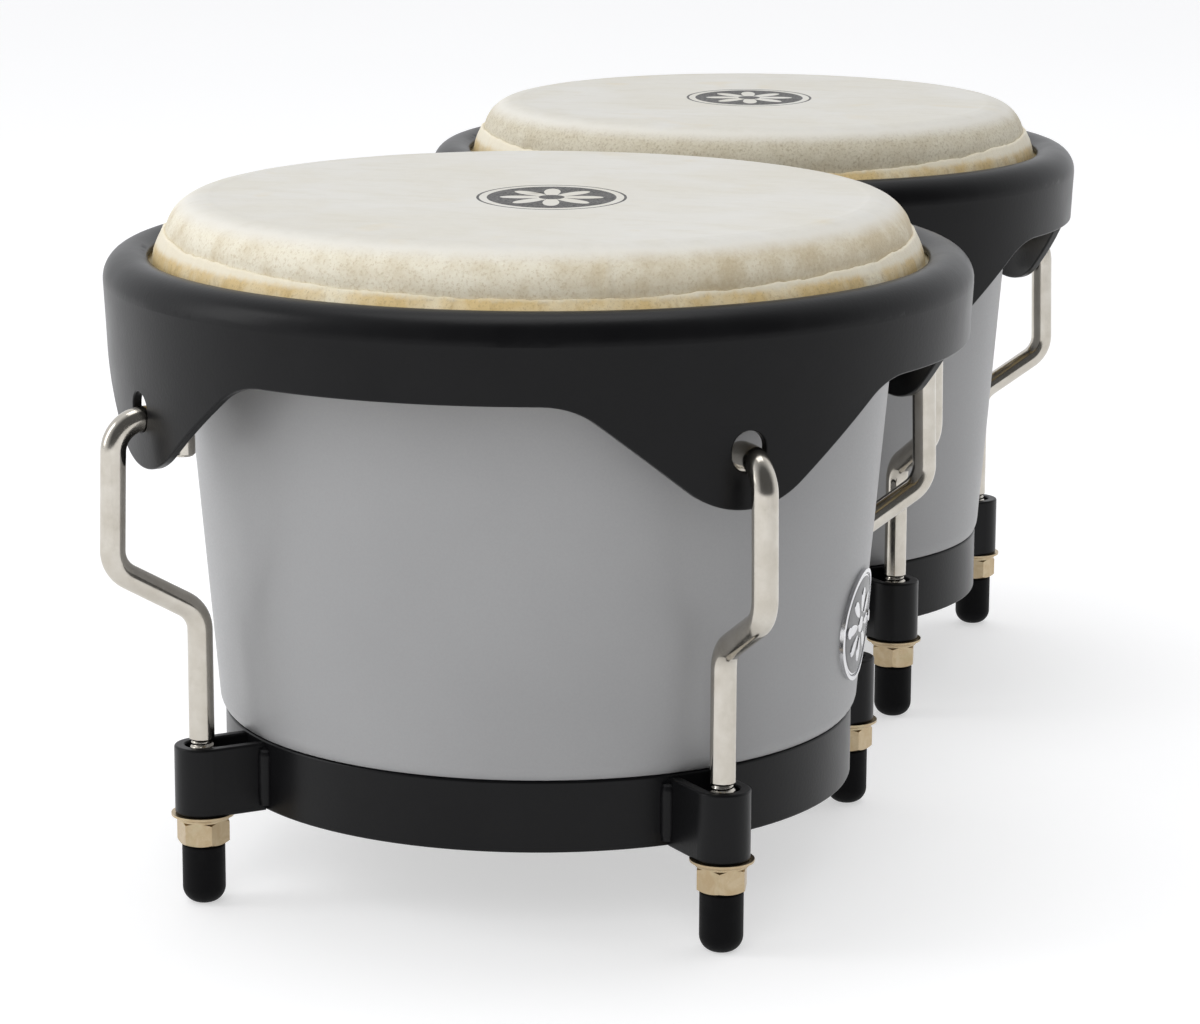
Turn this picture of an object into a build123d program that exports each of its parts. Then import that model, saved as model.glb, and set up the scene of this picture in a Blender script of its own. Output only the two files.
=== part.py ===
from build123d import *
import os
from math import asin, atan, cos, degrees, radians, sin, sqrt, tan

# Pair of bongo drums, millimetres, +Z up, feet on z = 0.
# +X runs from the large drum to the small one, and the badge is on the -Y side.

# ---- heights shared by both drums ----
FOOT_TOP = 15.4
NUT_BOTTOM, NUT_TOP = 15.7, 21.8
WASHER_BOTTOM, BRACKET_BOTTOM = 21.85, 23.6
BRACKET_TOP = 41.3
RING_BOTTOM, RING_TOP = 23.8, 41.9
SHELL_BOTTOM = 24.6
HEAD_TOP = 174.6
SKIN = 2.0
EDGE_TOP = HEAD_TOP - SKIN
SKIRT_EDGE = 140.0
TAB_TIP = 113.0

# ---- shell ----
WALL = 5.0
EDGE_ROUND = 8.0
EDGE_LIP = 1.5
FOOT_ROUND_TOP = 45.5
FOOT_GAP, FOOT_INSET = 0.3, 0.2
RING_WALL = 2.5
RING_EDGE = 0.6

# ---- rawhide and flesh hoop ----
SKIN_END = 161.6
SKIN_GAP = 0.15
COLLAR_TOP = 161.0
COLLAR_GAP = 0.45
HOOP_WIRE = 2.5
HOOP_Z = 154.3
WRAP = 4.3
WRAP_TURN = 220
TAIL_REACH = 12.5
TAIL_TOP = 165.4
TAIL_WALL = 2.0

# ---- rim: a rolled band with a deep skirt and four tabs ----
RIM_WALL = 2.4
ROLL = 7.0
ROLL_Z = 154.5
ROLL_END = 125.0
CONE_TOP = 134.0
CONE_ANGLE = 2.5
WALL_LEAN = 1.0
SKIRT_CUT = 108.0
SKIRT_BEND = 120.0
TAB_HALF = 42.5
TAB_SLOPE = 38.4
TAB_CORNER = 20.0
SLOT_WIDTH, SLOT_BOTTOM, SLOT_TOP = 9.0, 122.2, 132.2
SKIRT_ROUND = 0.5

# ---- hook rods, nuts and feet ----
ROD_R = 3.2
THREAD_R = 3.175
THREAD_TOP = 42.0
ROD_CHAMFER = 0.5
ROD_END = 4.0
HOOK_Z = 125.6
HOOK_TIP = 115.5
HOOK_BEND, HOOK_TIP_BEND, CRANK_BEND = 8.0, 6.0, 8.0
CRANK_HIGH, CRANK_LOW = 88.4, 75.5
NUT_FLATS = 11.7
NUT_TURN = 25
NUT_BORE = THREAD_R + 0.05
FOOT_R = 5.45
FOOT_ROUND = 4.2
FOOT_LIP = 0.6
STRAP_R, STRAP_HOLE = 7.0, 4.2
STRAP_EDGE = 0.6
BEAD_R = 1.8
WASHER_TOP_R, WASHER_LOW_R, WASHER_HOLE = 8.0, 6.6, 3.7

# ---- centre block ----
BLOCK_HALF, BLOCK_BOTTOM, BLOCK_TOP = 31.0, 80.0, 128.0
BLOCK_EDGE = 4.0
BLOCK_WASHER = 1.6
BOLT_R, BOLT_HOLE, BOLT_REACH = 4.0, 4.2, 16.0
BOLT_FLATS, BOLT_HEAD = 13.0, 5.3
BOLT_HEIGHTS = (93.0, 115.0)
SADDLE_HALF, SADDLE_BOTTOM, SADDLE_TOP = 21.0, 84.0, 124.0
SADDLE_EDGE = 2.4
INSERT_R, INSERT_LONG = 6.0, 14.0

# ---- badge ----
BADGE_ANGLE = -90
BADGE_Z = 67.5
BADGE_LONG, BADGE_TALL = 28.0, 29.0
BADGE_THICK, BADGE_BORDER, BORDER_WIDTH = 0.7, 0.35, 1.0
PIN_REACH, PIN_R, PIN_SPREAD = 3.0, 0.9, 10.4

LUG_ANGLES = (45, 135, 225, 315)
CENTRES = 221.2

# Each drum: rim radius, radius of the shell's cone at LOW_Z and its spread per mm of height,
# radius of the circle that the rods' lower ends stand on, radius of the bottom ring,
# how far the rods stand outside the rim, and the small turns that the rim and the hooks have taken.
LARGE = {"name": "large", "rim": 111.3, "low": 83.2, "spread": 0.0854, "lug": 95.8, "ring": 81.8}
SMALL = {"name": "small", "rim": 98.3, "low": 71.4, "spread": 0.0763, "lug": 85.0, "ring": 70.6}
LARGE.update(clear=5.8, rim_turn=-1.0, hook_turn=-5.0)
SMALL.update(clear=8.3, rim_turn=-1.5, hook_turn=-7.5)
LOW_Z = 45.7
LENGTH = CENTRES + LARGE["rim"] + SMALL["rim"]
LARGE["x"] = LARGE["rim"] - LENGTH / 2
SMALL["x"] = LENGTH / 2 - SMALL["rim"]
LARGE["turn"] = 0
SMALL["turn"] = 180

os.makedirs("parts", exist_ok=True)


# ---------------------------------------------------------------- helpers
def save(node, shape):
    """Writes one named sub-part: one solid, or a group of separate solids."""
    export_step(shape, f"parts/{node}.step")


def at_drum(drum, piece):
    """Moves a piece made round the Z axis to its drum."""
    return Pos(drum["x"], 0, 0) * piece


def at_lugs(drum, piece):
    """Four copies of a piece made on the +X side of a drum, one at each lug."""
    return [at_drum(drum, Rot(0, 0, angle) * piece) for angle in LUG_ANGLES]


def facing_block(drum, piece):
    """Turns a piece made on the +X side of a drum towards the centre block."""
    return at_drum(drum, Rot(0, 0, drum["turn"]) * piece)


def turned(edges):
    """A solid of revolution from a closed outline in the r-z plane."""
    return revolve(make_face(Plane.XZ * (Curve() + edges)), Axis.Z)


def polygon_turned(*points):
    """A solid of revolution from a polygon in the r-z plane."""
    return turned([Polyline(*points, close=True)])


def upright(radius, low, high):
    """A cylinder on the Z axis between two heights."""
    return Pos(0, 0, low) * Cylinder(radius, high - low, align=(Align.CENTER, Align.CENTER, Align.MIN))


def lying(radius, start, end, height):
    """A cylinder along X between two places, at y = 0 and the given height."""
    body = Cylinder(radius, end - start, align=(Align.CENTER, Align.CENTER, Align.MIN))
    return Pos(start, 0, height) * Rot(0, 90, 0) * body


def cone_radius(drum, z):
    """Outer radius of the shell at height z."""
    return drum["low"] + (z - LOW_Z) * drum["spread"]


def cone_layer(drum, inset, outset, low, high):
    """The round layer between two offsets from the shell's outer cone."""
    return polygon_turned(
        (cone_radius(drum, low) - inset, low),
        (cone_radius(drum, low) + outset, low),
        (cone_radius(drum, high) + outset, high),
        (cone_radius(drum, high) - inset, high),
    )


def edge_centre(drum):
    """Centre of the rounded playing edge in the r-z plane."""
    z = EDGE_TOP - EDGE_ROUND
    return cone_radius(drum, z) - EDGE_ROUND * sqrt(1 + drum["spread"] ** 2), z


def shoulder(drum, radius, shift=0.0):
    """Arc of the playing edge, from the side of the cone up to the top, and its two ends."""
    r, z = edge_centre(drum)
    lean = -degrees(asin(drum["spread"] / sqrt(1 + drum["spread"] ** 2)))
    arc = CenterArc((r + shift, z), radius, lean, 90 - lean)
    return arc, arc @ 0, arc @ 1


# ---------------------------------------------------------------- shell and head
def shell(drum):
    """Tapered moulded shell with a rounded foot above the ring and an inward playing edge."""
    foot = drum["ring"] - RING_WALL
    arc, side, top = shoulder(drum, EDGE_ROUND)
    round_start = (cone_radius(drum, FOOT_ROUND_TOP), FOOT_ROUND_TOP)
    round_end = (drum["ring"] - FOOT_INSET, RING_TOP + FOOT_GAP)
    foot_arc = TangentArc(round_start, round_end, tangent=(-drum["spread"], -1))
    inner_low = (cone_radius(drum, FOOT_ROUND_TOP + 3) - WALL, FOOT_ROUND_TOP + 3)
    inner_high = (cone_radius(drum, EDGE_TOP - 16) - WALL, EDGE_TOP - 16)
    lip = top.X - EDGE_LIP
    outline = [
        arc,
        Line(side, round_start),
        foot_arc,
        Polyline(
            round_end,
            (foot, RING_TOP + FOOT_GAP),
            (foot, SHELL_BOTTOM),
            (foot - WALL, SHELL_BOTTOM),
            (foot - WALL, RING_TOP),
            inner_low,
            inner_high,
            (lip, EDGE_TOP - 7),
            (lip, EDGE_TOP),
            top,
        ),
    ]
    body = turned(outline)
    for height in BOLT_HEIGHTS:
        body -= Rot(0, 0, drum["turn"]) * lying(BOLT_HOLE, 50, 110, height)
    if drum is LARGE:
        body -= pins(PIN_R)
    return at_drum(drum, body)


def head(drum):
    """The stretched part of the rawhide: flat top, rounded shoulder and sloping side."""
    inner, inner_side, inner_top = shoulder(drum, EDGE_ROUND, SKIN_GAP)
    outer, outer_side, outer_top = shoulder(drum, EDGE_ROUND + SKIN, SKIN_GAP)
    end = cone_radius(drum, SKIN_END) + SKIN_GAP
    outline = [
        Line((0, EDGE_TOP), inner_top),
        inner,
        Polyline(inner_side, (end, SKIN_END), (end + SKIN, SKIN_END), outer_side),
        outer,
        Polyline(outer_top, (0, HEAD_TOP), (0, EDGE_TOP)),
    ]
    return at_drum(drum, turned(outline))


def tucked_skin(drum):
    """The rawhide below the rim, wrapped round the hoop, with its tail standing up inside the rim."""
    hoop = drum["rim"] - ROLL
    tail = drum["rim"] - TAIL_REACH
    wrap = CenterArc((hoop, HOOP_Z), WRAP, -90, WRAP_TURN)
    outline = [
        wrap,
        Polyline(
            wrap @ 1,
            (tail, HOOP_Z + 3.1),
            (tail - 0.5, TAIL_TOP),
            (tail - TAIL_WALL, TAIL_TOP),
            (tail - TAIL_WALL, COLLAR_TOP),
            (cone_radius(drum, COLLAR_TOP) + COLLAR_GAP, COLLAR_TOP),
            (cone_radius(drum, HOOP_Z - WRAP) + COLLAR_GAP, HOOP_Z - WRAP),
            wrap @ 0,
        ),
    ]
    return at_drum(drum, turned(outline) - flesh_ring(drum))


def flesh_ring(drum):
    """A round steel wire bent into a ring, about the Z axis."""
    return Pos(0, 0, HOOP_Z) * Torus(drum["rim"] - ROLL, HOOP_WIRE)


# ---------------------------------------------------------------- rim
def rim_surface(drum, inset):
    """Points and roll of one face of the rim's band, at a depth below its outer face."""
    lean = degrees(atan(WALL_LEAN / (ROLL_Z - CONE_TOP)))
    centre = (drum["rim"] - ROLL, ROLL_Z)
    roll = CenterArc(centre, ROLL - inset, -lean, ROLL_END + lean)
    corner = drum["rim"] - WALL_LEAN - inset
    bottom = corner - (CONE_TOP - SKIRT_CUT) * tan(radians(CONE_ANGLE))
    skirt = FilletPolyline((bottom, SKIRT_CUT), (corner, CONE_TOP), roll @ 0, radius=SKIRT_BEND)
    return skirt, roll


def rolled_band(drum):
    """The rim before its skirt is cut: a rolled band turned about the Z axis."""
    skirt, roll = rim_surface(drum, 0)
    inner_skirt, inner_roll = rim_surface(drum, RIM_WALL)
    middle = ROLL - RIM_WALL / 2
    end = radians(ROLL_END)
    tip = (drum["rim"] - ROLL + middle * cos(end), ROLL_Z + middle * sin(end))
    cap = CenterArc(tip, RIM_WALL / 2, ROLL_END, 180)
    return turned([skirt, roll, cap, inner_roll, inner_skirt, Line(skirt @ 0, inner_skirt @ 0)])


def tab_outline():
    """Rounded V of one tab, hanging from the edge of the skirt."""
    apex = SKIRT_EDGE - TAB_HALF * tan(radians(TAB_SLOPE))
    tip_round = (TAB_TIP - apex) / (1 / cos(radians(TAB_SLOPE)) - 1)
    side, above = TAB_HALF + 16, SKIRT_EDGE + 10
    outline = make_face(
        Polyline(
            (-side, above), (-side, SKIRT_EDGE), (-TAB_HALF, SKIRT_EDGE), (0, apex),
            (TAB_HALF, SKIRT_EDGE), (side, SKIRT_EDGE), (side, above), close=True,
        )
    )
    corners = outline.vertices().filter_by(lambda v: abs(abs(v.X) - TAB_HALF) < 0.1)
    outline = fillet(corners, TAB_CORNER)
    point = outline.vertices().sort_by(Axis.Y)[0]
    return fillet(point, tip_round)


def rim(drum):
    """Rolled steel rim with a deep skirt, four rounded tabs and a hook slot in each."""
    reach = drum["rim"]
    waste = upright(reach + 10, SKIRT_CUT - 5, SKIRT_EDGE) - upright(reach - 30, SKIRT_CUT - 6, SKIRT_EDGE + 1)
    tab = Pos(reach - 25, 0, 0) * extrude(Plane.YZ * tab_outline(), 40)
    opening = Pos(0, (SLOT_BOTTOM + SLOT_TOP) / 2) * Rot(0, 0, 90) * SlotOverall(SLOT_TOP - SLOT_BOTTOM, SLOT_WIDTH)
    slot = Pos(reach - 25, 0, 0) * extrude(Plane.YZ * opening, 40)
    band = rolled_band(drum)
    for angle in LUG_ANGLES:
        waste -= Rot(0, 0, angle) * tab
        band -= Rot(0, 0, angle) * slot
    band -= waste
    low_edges = band.edges().filter_by(lambda e: e.center().Z < SKIRT_EDGE + 0.6 and e.length > 1.0)
    return at_drum(drum, Rot(0, 0, drum["rim_turn"]) * fillet(low_edges, SKIRT_ROUND))


# ---------------------------------------------------------------- bottom ring and lugs
def bottom_ring(drum):
    """Flat steel band round the foot of the shell."""
    band = upright(drum["ring"], RING_BOTTOM, RING_TOP) - upright(drum["ring"] - RING_WALL, 0, 60)
    edges = band.edges().filter_by(GeomType.CIRCLE).group_by(SortBy.RADIUS)[-1]
    return at_drum(drum, fillet(edges, RING_EDGE))


def lug_bracket(drum):
    """U-shaped strap round a rod, with a weld bead down each side where it meets the ring."""
    reach, ring = drum["lug"], drum["ring"]
    leg = reach - ring + 6
    outer = Pos(reach, 0) * Circle(STRAP_R) + Pos(reach - leg / 2, 0) * Rectangle(leg, 2 * STRAP_R)
    inner = Pos(reach, 0) * Circle(STRAP_HOLE) + Pos(reach - leg / 2, 0) * Rectangle(leg + 1, 2 * STRAP_HOLE)
    strap = Pos(0, 0, BRACKET_BOTTOM) * extrude(outer - inner, BRACKET_TOP - BRACKET_BOTTOM)
    faces = strap.faces().sort_by(Axis.Z)
    strap = fillet(faces[-1].edges() + faces[0].edges(), STRAP_EDGE)
    corner = sqrt(ring**2 - STRAP_R**2)
    for side in (-1, 1):
        strap += Pos(corner, side * STRAP_R, 0) * upright(BEAD_R, RING_BOTTOM + 1.5, RING_TOP - 2)
    return strap - upright(ring, 0, 60)


def cup_washer(drum):
    """Washer that flares up from the nut to the full width of the strap."""
    low, middle, high = WASHER_BOTTOM + 0.3, WASHER_BOTTOM + 0.85, WASHER_BOTTOM + 1.15
    flare = ThreePointArc((WASHER_LOW_R, low), (WASHER_LOW_R + 0.4, middle), (WASHER_TOP_R, high))
    outline = [
        Polyline(
            flare @ 1,
            (WASHER_TOP_R, BRACKET_BOTTOM),
            (WASHER_HOLE, BRACKET_BOTTOM),
            (WASHER_HOLE, WASHER_BOTTOM),
            (WASHER_LOW_R, WASHER_BOTTOM),
            flare @ 0,
        ),
        flare,
    ]
    return Pos(drum["lug"], 0, 0) * turned(outline)


# ---------------------------------------------------------------- hook rods, nuts and feet
def hook_rod(drum):
    """Rod hooked over the tab, cranked in to the lug, with a threaded lower end."""
    rim_r, lug, clear = drum["rim"], drum["lug"], drum["clear"]
    path = FilletPolyline(
        (rim_r - 11.8, HOOK_TIP),
        (rim_r - 11.8, HOOK_Z),
        (rim_r + clear, HOOK_Z),
        (rim_r + clear + 1, CRANK_HIGH),
        (lug, CRANK_LOW),
        (lug, THREAD_TOP),
        radius=[HOOK_TIP_BEND, HOOK_BEND, CRANK_BEND, CRANK_BEND],
    )
    path = Plane.XZ * path
    rod = sweep(Plane(path @ 0, z_dir=path % 0) * Circle(ROD_R), path=path)
    ends = rod.faces().filter_by(GeomType.PLANE).sort_by(Axis.Z)
    rod = chamfer(ends[-1].edges() + ends[0].edges(), ROD_CHAMFER)
    thread = upright(THREAD_R, ROD_END, THREAD_TOP)
    thread = chamfer(thread.faces().sort_by(Axis.Z)[0].edges(), ROD_CHAMFER)
    return Pos(lug, 0, 0) * Rot(0, 0, drum["hook_turn"]) * (Pos(-lug, 0, 0) * rod + thread)


def tuning_nut(drum):
    """Hexagonal nut with chamfered corners and a plain running bore."""
    tall = NUT_TOP - NUT_BOTTOM
    face, corner, depth = NUT_FLATS / 2 - 0.1, NUT_FLATS / 2 + 1.4, 0.85
    block = extrude(RegularPolygon(NUT_FLATS / 2, 6, major_radius=False), tall)
    chamfers = polygon_turned(
        (0, 0), (face, 0), (corner, depth), (corner, tall - depth), (face, tall), (0, tall)
    )
    nut = (block & chamfers) - upright(NUT_BORE, -1, tall + 1)
    return Pos(drum["lug"], 0, NUT_BOTTOM) * Rot(0, 0, NUT_TURN) * nut


def rubber_foot(drum):
    """Domed rubber cap pushed on the end of a rod."""
    cap = upright(FOOT_R, 0, FOOT_TOP)
    cap = fillet(cap.faces().sort_by(Axis.Z)[0].edges(), FOOT_ROUND)
    cap = fillet(cap.faces().sort_by(Axis.Z)[-1].edges(), FOOT_LIP)
    bore = upright(THREAD_R, ROD_END, FOOT_TOP + 1)
    bore = chamfer(bore.faces().sort_by(Axis.Z)[0].edges(), ROD_CHAMFER)
    return Pos(drum["lug"], 0, 0) * (cap - bore)


# ---------------------------------------------------------------- centre block
def saddle_face(drum):
    """Distance from the drum's axis to the flat inner face of its saddle."""
    inner = cone_radius(drum, SADDLE_BOTTOM) - WALL
    return sqrt(inner**2 - SADDLE_HALF**2) - SADDLE_EDGE


def saddle(drum):
    """Moulded pad inside the shell: curved against the wall, flat under the bolt heads."""
    flat = saddle_face(drum)
    low, high = SADDLE_BOTTOM, SADDLE_TOP
    body = Pos(flat, 0, (low + high) / 2) * Box(
        30, 2 * SADDLE_HALF, high - low, align=(Align.MIN, Align.CENTER, Align.CENTER)
    )
    body &= cone_layer(drum, 30, -WALL, low - 5, high + 5)
    for height in BOLT_HEIGHTS:
        body -= lying(BOLT_HOLE, 50, 110, height)
    return facing_block(drum, body)


def centre_block():
    """Block between the shells, with hollow ends that follow both cones."""
    low, high = BLOCK_BOTTOM, BLOCK_TOP
    body = Pos((LARGE["x"] + SMALL["x"]) / 2, 0, (low + high) / 2) * Box(CENTRES, 2 * BLOCK_HALF, high - low)
    body = fillet(body.edges().filter_by(Axis.X), BLOCK_EDGE)
    for drum in (LARGE, SMALL):
        cone = polygon_turned(
            (0, low - 5), (cone_radius(drum, low - 5), low - 5), (cone_radius(drum, high + 5), high + 5), (0, high + 5)
        )
        body -= at_drum(drum, cone)
        for height in BOLT_HEIGHTS:
            start = cone_radius(drum, height)
            body -= facing_block(drum, lying(INSERT_R, start - 5, start + BOLT_REACH + 1, height))
    return body


def block_fastenings(drum):
    """Bolts, washers and threaded inserts that hold one shell to the block."""
    bolts, washers, inserts = [], [], []
    flat = saddle_face(drum)
    for height in BOLT_HEIGHTS:
        wall = cone_radius(drum, height)
        seat = flat - BLOCK_WASHER
        hexagon = extrude(RegularPolygon(BOLT_FLATS / 2, 6, major_radius=False), BOLT_HEAD)
        bolt_head = Pos(seat - BOLT_HEAD, 0, height) * Rot(0, 90, 0) * hexagon
        bolts.append(facing_block(drum, bolt_head + lying(BOLT_R, seat - 1, wall + BOLT_REACH, height)))
        ring = lying(2.1 * BOLT_R, seat, flat, height) - lying(BOLT_HOLE, seat - 1, flat + 1, height)
        washers.append(facing_block(drum, ring))
        sleeve = lying(INSERT_R, wall + 1, wall + INSERT_LONG + 1, height)
        sleeve -= lying(BOLT_R, wall, wall + INSERT_LONG + 2, height)
        inserts.append(facing_block(drum, sleeve))
    return bolts, washers, inserts


# ---------------------------------------------------------------- badge
def pins(radius, head_radius=0.0):
    """Two short pins through the badge into the shell, about the large drum's axis."""
    pieces = []
    wall = cone_radius(LARGE, BADGE_Z)
    spread = degrees(PIN_SPREAD / wall)
    for side in (-1, 1):
        pin = lying(radius, wall - PIN_REACH, wall + BADGE_THICK + 0.2, BADGE_Z)
        if head_radius:
            pin += lying(head_radius, wall + BADGE_THICK + 0.2, wall + BADGE_THICK + 0.7, BADGE_Z)
        pieces.append(Rot(0, 0, BADGE_ANGLE + side * spread) * pin)
    return pieces


def badge():
    """Oval plate with a raised border, curved to the shell's side."""
    long, tall = BADGE_LONG / 2, BADGE_TALL / 2
    plate = Pos(70, 0, 0) * extrude(Plane.YZ * Pos(0, BADGE_Z) * Ellipse(tall, long, rotation=90), 30)
    field = Ellipse(tall - BORDER_WIDTH, long - BORDER_WIDTH, rotation=90)
    field = Pos(70, 0, 0) * extrude(Plane.YZ * Pos(0, BADGE_Z) * field, 30)
    low, high = BADGE_Z - BADGE_TALL, BADGE_Z + BADGE_TALL
    away = Rot(0, 0, 180)  # keeps the seam of the round layers off the badge
    body = plate & away * cone_layer(LARGE, 0, BADGE_THICK, low, high)
    body += (plate - field) & away * cone_layer(LARGE, 0, BADGE_THICK + BADGE_BORDER, low, high)
    return at_drum(LARGE, Rot(0, 0, BADGE_ANGLE) * body - pins(PIN_R))


# ---------------------------------------------------------------- write every node
fastenings = {"block_bolts": [], "block_washers": [], "block_inserts": []}
for drum in (LARGE, SMALL):
    name = drum["name"]
    save(f"{name}_shell", shell(drum))
    save(f"{name}_head", head(drum))
    save(f"{name}_tucked_skin", tucked_skin(drum))
    save(f"{name}_flesh_hoop", at_drum(drum, flesh_ring(drum)))
    save(f"{name}_rim", rim(drum))
    save(f"{name}_bottom_ring", bottom_ring(drum))
    save(f"{name}_lug_brackets", Compound(children=at_lugs(drum, lug_bracket(drum))))
    save(f"{name}_cup_washers", Compound(children=at_lugs(drum, cup_washer(drum))))
    save(f"{name}_saddle", saddle(drum))
    for node, make in (("hook_rod", hook_rod), ("tuning_nut", tuning_nut), ("rubber_foot", rubber_foot)):
        for number, piece in enumerate(at_lugs(drum, make(drum)), start=1):
            save(f"{name}_{node}_{number}", piece)
    for group, pieces in zip(fastenings.values(), block_fastenings(drum)):
        group.extend(pieces)
for node, pieces in fastenings.items():
    save(node, Compound(children=pieces))
save("centre_block", centre_block())
save("badge", badge())
save("badge_pins", Compound(children=[at_drum(LARGE, pin) for pin in pins(PIN_R, 1.5)]))
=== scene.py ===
from math import atan, cos, exp, pi, radians, sin, sqrt, tan

import bpy
from mathutils import Matrix, Vector, noise


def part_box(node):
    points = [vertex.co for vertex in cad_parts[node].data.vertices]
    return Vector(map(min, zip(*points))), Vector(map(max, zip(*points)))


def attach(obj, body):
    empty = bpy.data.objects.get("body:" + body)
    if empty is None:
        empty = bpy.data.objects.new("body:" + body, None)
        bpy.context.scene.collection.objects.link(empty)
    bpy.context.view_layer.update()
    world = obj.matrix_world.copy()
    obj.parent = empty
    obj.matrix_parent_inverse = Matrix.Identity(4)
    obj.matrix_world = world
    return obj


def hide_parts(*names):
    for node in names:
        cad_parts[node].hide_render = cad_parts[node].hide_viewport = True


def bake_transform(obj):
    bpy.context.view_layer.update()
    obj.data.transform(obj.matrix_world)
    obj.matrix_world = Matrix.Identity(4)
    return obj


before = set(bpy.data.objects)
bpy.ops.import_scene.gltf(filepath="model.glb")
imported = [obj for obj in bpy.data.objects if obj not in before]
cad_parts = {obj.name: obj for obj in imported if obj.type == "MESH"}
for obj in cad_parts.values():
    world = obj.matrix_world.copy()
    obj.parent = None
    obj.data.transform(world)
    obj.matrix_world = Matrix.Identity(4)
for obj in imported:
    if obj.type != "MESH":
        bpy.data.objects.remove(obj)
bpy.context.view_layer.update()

MM = 0.001

# ---- the camera, from the row frame's origin, in metres and degrees ----
CAMERA_AT = (-1.0960, -0.3081, 0.3181)
CAMERA_HEADING = -73.62
CAMERA_PITCH = 12.32
CAMERA_ROLL = 0.22
CAMERA_LENS = 122.62
SENSOR = 36.0

# ---- heights and widths shared with the CAD, in metres ----
SKIN, SKIN_GAP = 2 * MM, 0.15 * MM
HOOP_Z = 154.3 * MM
WRAP = 4.3 * MM
WASHER_R = 8.0 * MM
ROD_R, THREAD_R = 3.2 * MM, 3.175 * MM
THREAD_TOP, ROD_END = 42.0 * MM, 4.0 * MM
HOOK_Z, HOOK_TIP = 125.6 * MM, 115.5 * MM
HOOK_BENDS = (6 * MM, 8 * MM, 8 * MM, 8 * MM)
CRANK_HIGH, CRANK_LOW = 88.4 * MM, 75.5 * MM
STRAP_R = 7.0 * MM
BADGE_ANGLE = radians(-90)
BADGE_LONG, BADGE_TALL = 28.0 * MM, 29.0 * MM
BADGE_THICK = 0.7 * MM
LUG_ANGLES = (45, 135, 225, 315)

# ---- sizes of the visual pieces alone, in metres ----
EDGE_ROUND = 10 * MM
SKIN_LOW = 152 * MM
SKIN_CENTRE = 0.4 * MM
SHELL_CLEAR = 0.03 * MM
HOOP_INSET = 7 * MM
TAIL_LOW, TAIL_TOP = 158.0 * MM, 162.8 * MM
COLLAR_LOW, COLLAR_HIGH = 150 * MM, 153 * MM
THREAD_PITCH, THREAD_DEPTH = 1.27 * MM, 0.6 * MM
TIP_INSET = 11.8 * MM
BEAD_R, BEAD_RIPPLE = 2.2 * MM, 1.55 * MM

# Each drum: spread of the shell's cone, how far the rods stand outside the rim, the small turn of the
# hooks about their lugs in degrees, the place of the ink stamp from the drum's axis, a seed for the hide's
# noise, the lightest and darkest colour of the hide's side, the colour of its pores, and how much darker
# the side grows towards -Y, partly browner hide and partly painted shade on the side turned from the light.
# The small drum's side and pore colours are darker partly as painted shade from the large drum in front.
DRUMS = {
    "large": {
        "spread": 0.0854, "clear": 5.8 * MM, "hook_turn": -5.0, "stamp": (-5.4 * MM, -5.0 * MM), "seed": 3.0,
        "side_colours": ((0.84, 0.79, 0.65), (0.64, 0.545, 0.375)),
        "pore_colour": (0.55, 0.45, 0.29), "tan_and_shade_lean": 0.24,
    },
    # The small drum's darker side and pore colours are partly browner hide and partly painted shade from the
    # large drum.
    "small": {
        "spread": 0.0763, "clear": 8.3 * MM, "hook_turn": -7.5, "stamp": (4.0 * MM, 2.4 * MM), "seed": 11.0,
        "side_colours": ((0.68, 0.63, 0.50), (0.55, 0.48, 0.345)),
        "pore_colour": (0.34, 0.27, 0.165), "tan_and_shade_lean": 0.0,
    },
}
STAMP_R, STAMP_STRETCH, STAMP_TURN = 16.5 * MM, 1.19, radians(16)

# Angles about a drum's axis: where its tail stands lowest, and where the large hide has a ridge.
NEAR_SIDE = radians(197)
SCAR = radians(207)

# ---- how finely the meshes are divided ----
AROUND = 720
BEND_STEP = radians(6)
ROD_SECTORS = 32
BEAD_SECTORS, BEAD_STEPS = 20, 60
FIELD_POINTS, PETAL_POINTS = 96, 32


def drum_facts(name):
    """Centre and radii of one drum, read from the CAD nodes."""
    facts = dict(DRUMS[name], name=name)
    low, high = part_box(f"{name}_rim")
    facts["x"] = (low.x + high.x) / 2
    facts["rim"] = (high.x - low.x) / 2
    low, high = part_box(f"{name}_cup_washers")
    facts["lug"] = ((high.x - low.x) / 2 - WASHER_R) * sqrt(2)
    low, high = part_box(f"{name}_bottom_ring")
    facts["ring"] = (high.x - low.x) / 2
    facts["ring_low"], facts["ring_high"] = low.z, high.z
    low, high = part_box(f"{name}_head")
    facts["edge"] = (high.x - low.x) / 2 - EDGE_ROUND
    facts["cone"] = facts["edge"] + EDGE_ROUND - SKIN - SKIN_GAP + SHELL_CLEAR
    facts["top"] = high.z
    return facts


# ---------------------------------------------------------------- meshes
def add_piece(name, points, faces, paint, smooth=True):
    """A mesh object in the row frame with one material."""
    mesh = bpy.data.meshes.new(name)
    mesh.from_pydata(points, [], faces)
    mesh.materials.append(paint)
    mesh.update()
    if smooth:
        mesh.shade_smooth()
    piece = bpy.data.objects.new(name, mesh)
    bpy.context.scene.collection.objects.link(piece)
    return piece


def loft(rings):
    """Points and faces of a tube through rings of equal length, with a flat cap at both ends."""
    count = len(rings[0])
    points = [p for ring in rings for p in ring]
    faces = []
    for k in range(len(rings) - 1):
        a, b = k * count, (k + 1) * count
        faces += [(a + i, a + (i + 1) % count, b + (i + 1) % count, b + i) for i in range(count)]
    faces.append(tuple(reversed(range(count))))
    faces.append(tuple(range(len(points) - count, len(points))))
    return points, faces


def joined(parts):
    """Points and faces of several meshes as one."""
    points, faces = [], []
    for own_points, own_faces in parts:
        start = len(points)
        points += own_points
        faces += [tuple(start + i for i in face) for face in own_faces]
    return points, faces


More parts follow.
